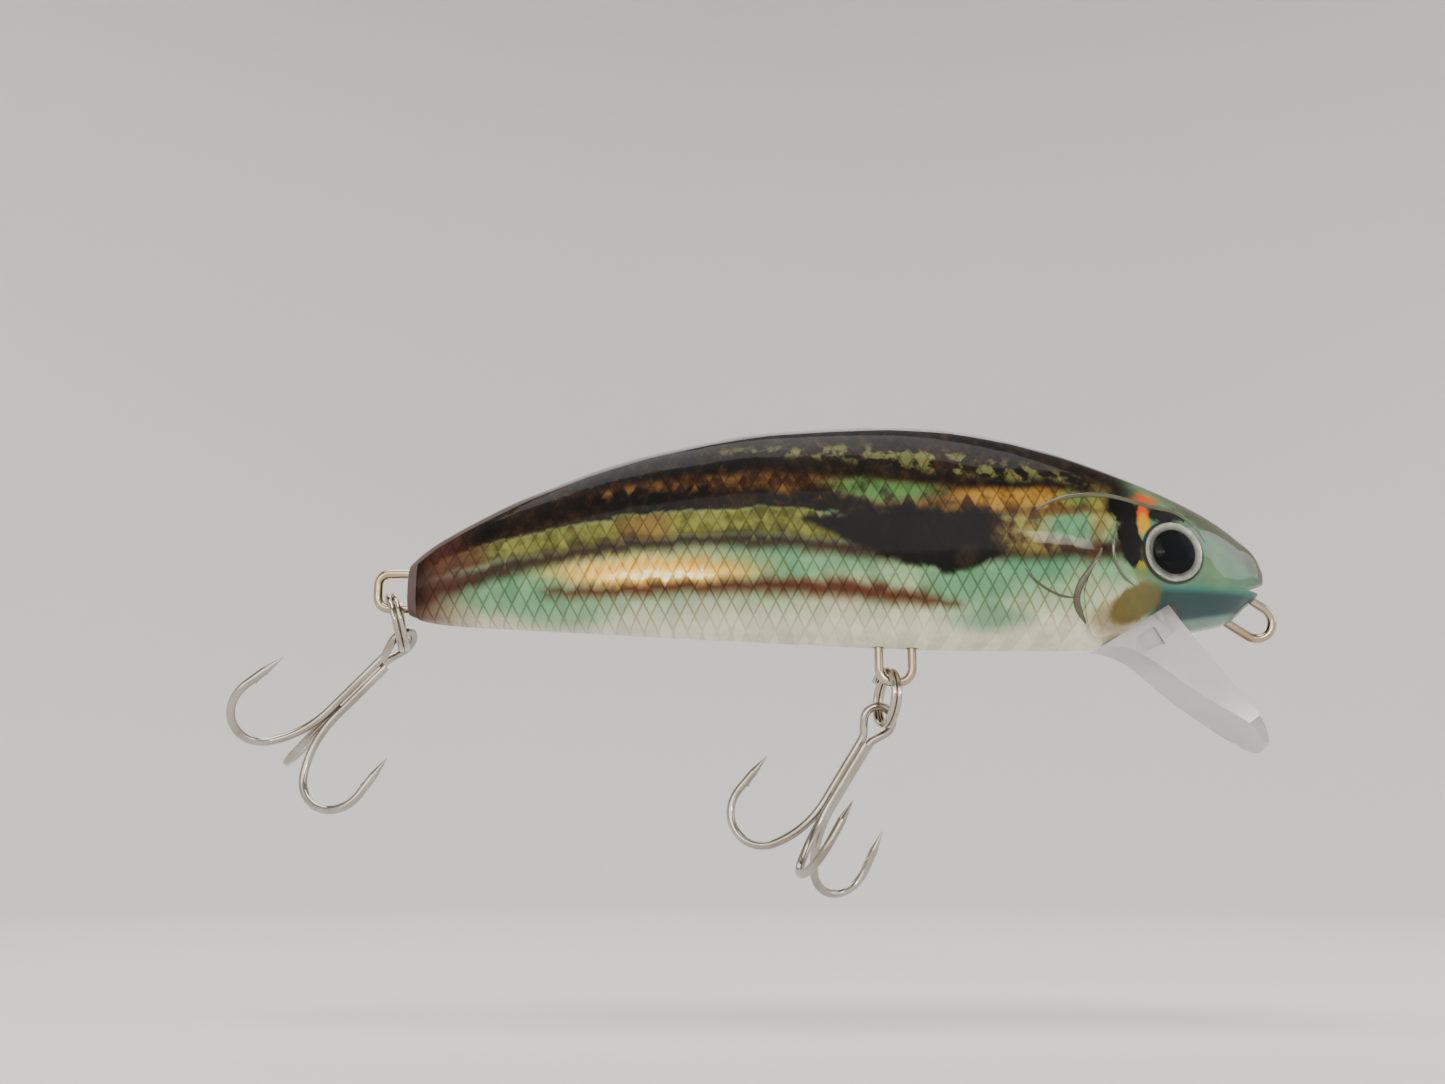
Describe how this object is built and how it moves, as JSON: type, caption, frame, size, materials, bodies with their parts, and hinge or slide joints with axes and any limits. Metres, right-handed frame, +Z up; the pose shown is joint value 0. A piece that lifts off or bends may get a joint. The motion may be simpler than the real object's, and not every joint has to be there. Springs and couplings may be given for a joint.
{
  "type": "crankbait fishing lure",
  "caption": "Hard minnow-shaped diving lure: clear body with printed skin, clear sloping lip, domed eyes, and treble hooks that swing on split rings under the belly and tail.",
  "frame": {"origin": "centre of the line tie's round end, where the leader is tied", "axes": "+X forward along the body to the nose, +Z up to the fish's back, +Y to the fish's left"},
  "size_m": [0.1099, 0.0206, 0.0498],
  "materials": {
    "clear_body": "clear moulded, glossy",
    "clear_lip": "clear moulded, glossy",
    "printed_skin": "printed baitfish pattern under a gloss coat",
    "eye_foil": "silver foil",
    "eye_pupil": "gloss",
    "eye_lens": "clear domed resin",
    "hanger_wire": "bright drawn stainless wire",
    "ring_wire": "bright nickel plate",
    "hook_wire": "bright nickel plate",
    "braze_metal": "plated over",
    "ballast_metal": "turned",
    "ball_steel": "polished bearing steel"
  },
  "bodies": {
    "lure_body": {"right_shell": "clear_body", "left_shell": "clear_body", "diving_lip": "clear_lip", "right_skin_film": "printed_skin", "left_skin_film": "printed_skin", "right_eye_iris": "eye_foil", "left_eye_iris": "eye_foil", "right_eye_pupil": "eye_pupil", "left_eye_pupil": "eye_pupil", "right_eye_lens": "eye_lens", "left_eye_lens": "eye_lens", "line_tie": "hanger_wire", "belly_hanger": "hanger_wire", "tail_hanger": "hanger_wire", "belly_ballast": "ballast_metal"},
    "cast_weights": {"weight_ball_front": "ball_steel", "weight_ball_middle": "ball_steel", "weight_ball_rear": "ball_steel"},
    "belly_ring": {"belly_ring": "ring_wire"},
    "belly_treble": {"belly_treble_double": "hook_wire", "belly_treble_single": "hook_wire", "belly_treble_braze": "braze_metal"},
    "tail_ring": {"tail_ring": "ring_wire"},
    "tail_treble": {"tail_treble_double": "hook_wire", "tail_treble_single": "hook_wire", "tail_treble_braze": "braze_metal"}
  },
  "joints": [
    {"name": "cast_weight_slide", "type": "slide", "parent": "lure_body", "child": "cast_weights", "axis": [1, 0, 0], "range_m": [-0.02299, 0]},
    {"name": "belly_ring_swing", "type": "hinge", "parent": "lure_body", "child": "belly_ring", "pos_m": [-0.0386, 0, -0.00636], "axis": [1, 0, 0], "range_deg": [-78, 8]},
    {"name": "belly_treble_swing", "type": "hinge", "parent": "belly_ring", "child": "belly_treble", "pos_m": [-0.03983, 0.00278, -0.0101], "axis": [-0.1564, 0.7676, 0.6216], "range_deg": [-90, 32]},
    {"name": "tail_ring_swing", "type": "hinge", "parent": "lure_body", "child": "tail_ring", "pos_m": [-0.09105, 0, 0.00146], "axis": [1, 0, 0], "range_deg": [-80, 12]},
    {"name": "tail_treble_swing", "type": "hinge", "parent": "tail_ring", "child": "tail_treble", "pos_m": [-0.09105, 0.00369, -0.00164], "axis": [-0.309, 0.6113, 0.7286], "range_deg": [-90, 34]}
  ]
}
